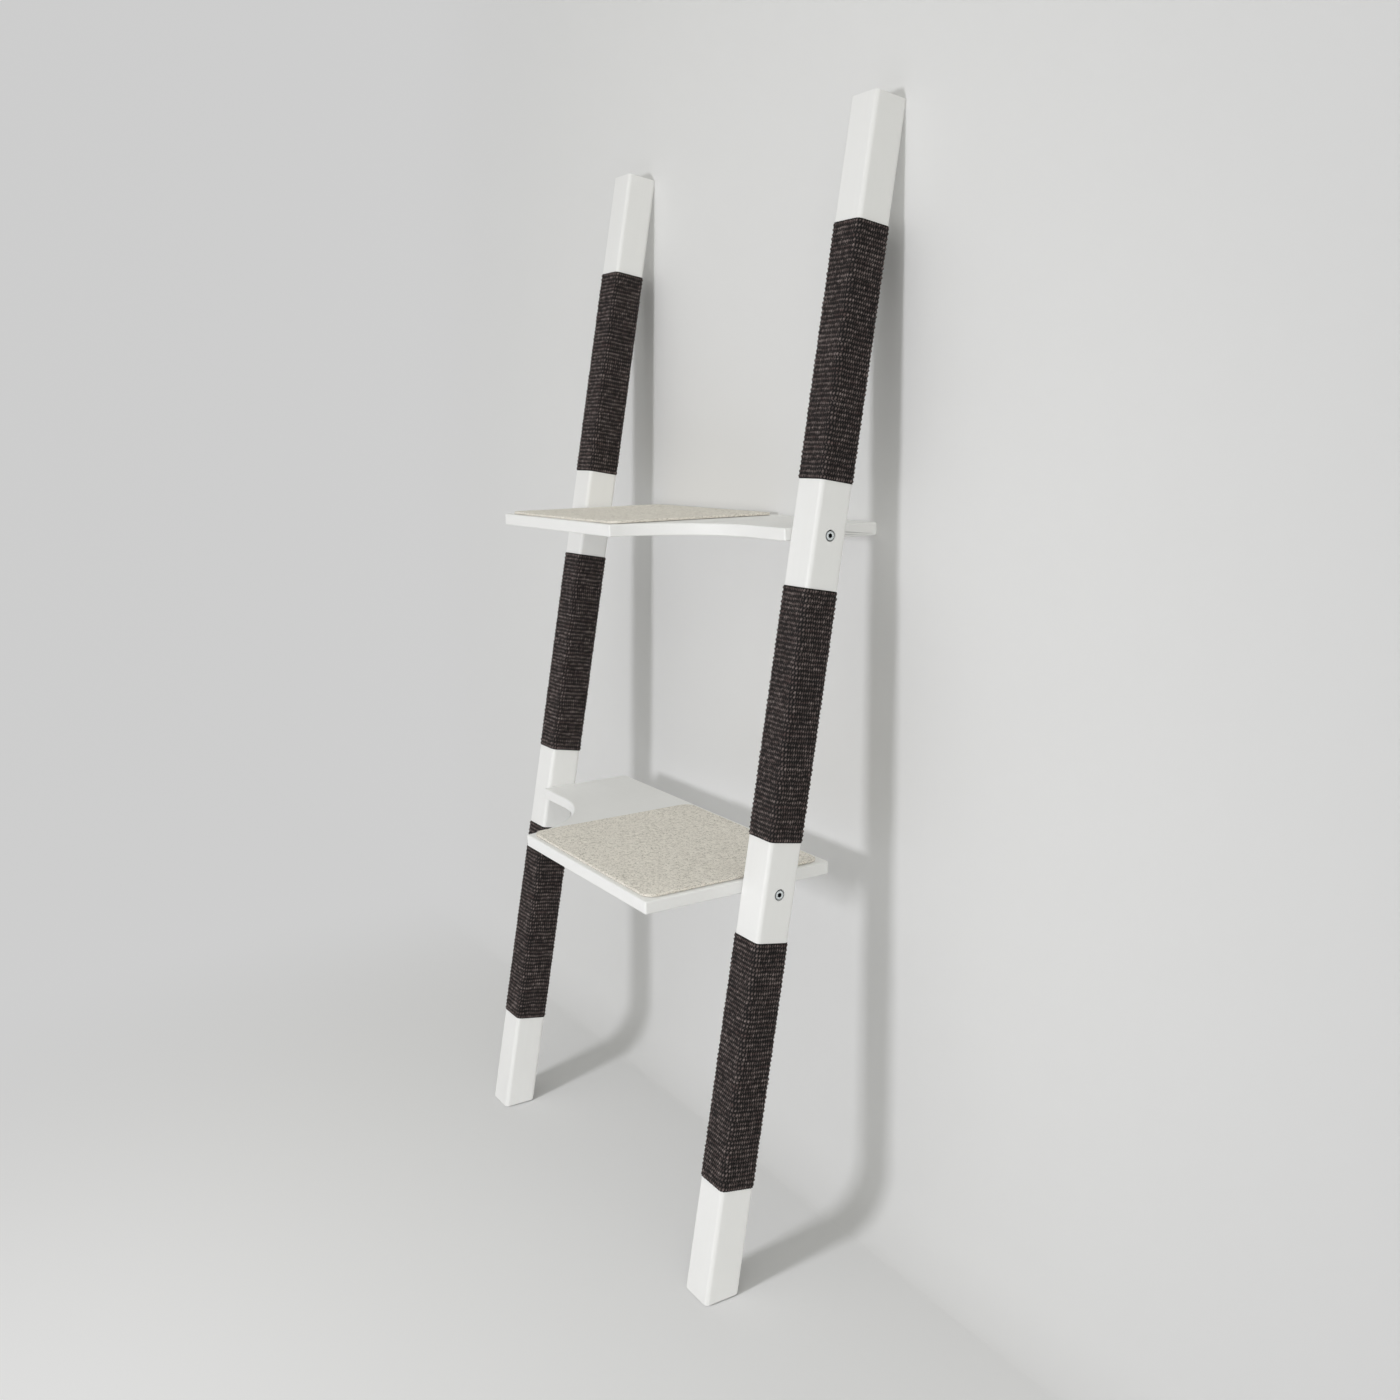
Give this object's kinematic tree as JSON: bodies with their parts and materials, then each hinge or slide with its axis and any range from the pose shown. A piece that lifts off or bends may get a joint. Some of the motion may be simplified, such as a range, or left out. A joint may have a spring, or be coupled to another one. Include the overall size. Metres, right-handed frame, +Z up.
{
  "type": "cat scratching tree",
  "caption": "Leaning cat scratching tree: wooden posts wrapped in woven sisal mats lean on a wall and carry shelves with lift-off felt pads for climbing and lying on.",
  "frame": {"origin": "on the floor, in the middle of the space the whole object takes up, seen from above", "axes": "+X along the wall, to the right for someone facing the wall; +Y towards the wall; +Z up"},
  "size_m": [0.7606, 0.41, 1.7],
  "materials": {
    "white_painted_wood": "solid wood, sprayed white, satin",
    "woven_sisal": "ribbed sisal weave, dark brown, rough",
    "wool_felt": "needled felt, mottled grey beige, matt",
    "zinc_plated_steel": "bright zinc plating",
    "beech_dowel": "bare turned beech",
    "foot_rubber": "matt black rubber",
    "hook_tape": "hook tape, black, matt"
  },
  "bodies": {
    "frame": {"left_post": "white_painted_wood", "right_post": "white_painted_wood", "left_lower_sisal_mat": "woven_sisal", "left_middle_sisal_mat": "woven_sisal", "left_upper_sisal_mat": "woven_sisal", "right_lower_sisal_mat": "woven_sisal", "right_middle_sisal_mat": "woven_sisal", "right_upper_sisal_mat": "woven_sisal", "lower_shelf": "white_painted_wood", "upper_shelf": "white_painted_wood", "lower_front_outer_hook_spot": "hook_tape", "lower_front_inner_hook_spot": "hook_tape", "lower_back_outer_hook_spot": "hook_tape", "lower_back_inner_hook_spot": "hook_tape", "upper_front_outer_hook_spot": "hook_tape", "upper_front_inner_hook_spot": "hook_tape", "upper_back_outer_hook_spot": "hook_tape", "upper_back_inner_hook_spot": "hook_tape", "lower_left_screw": "zinc_plated_steel", "lower_right_screw": "zinc_plated_steel", "upper_left_screw": "zinc_plated_steel", "upper_right_screw": "zinc_plated_steel", "lower_left_washer": "zinc_plated_steel", "lower_right_washer": "zinc_plated_steel", "upper_left_washer": "zinc_plated_steel", "upper_right_washer": "zinc_plated_steel", "lower_left_barrel_nut": "zinc_plated_steel", "lower_right_barrel_nut": "zinc_plated_steel", "upper_left_barrel_nut": "zinc_plated_steel", "upper_right_barrel_nut": "zinc_plated_steel", "lower_left_front_dowel": "beech_dowel", "lower_left_back_dowel": "beech_dowel", "lower_right_front_dowel": "beech_dowel", "lower_right_back_dowel": "beech_dowel", "upper_left_front_dowel": "beech_dowel", "upper_left_back_dowel": "beech_dowel", "upper_right_front_dowel": "beech_dowel", "upper_right_back_dowel": "beech_dowel", "left_foot_pad": "foot_rubber", "right_foot_pad": "foot_rubber", "left_wall_hanger": "zinc_plated_steel", "right_wall_hanger": "zinc_plated_steel"},
    "lower_pad": {"lower_felt_pad": "wool_felt"},
    "upper_pad": {"upper_felt_pad": "wool_felt"}
  },
  "joints": [
    {"name": "lower_pad_lift", "type": "slide", "parent": "frame", "child": "lower_pad", "axis": [0, 0, 1], "range_m": [0, 0.12]},
    {"name": "upper_pad_lift", "type": "slide", "parent": "frame", "child": "upper_pad", "axis": [0, 0, 1], "range_m": [0, 0.12]}
  ]
}
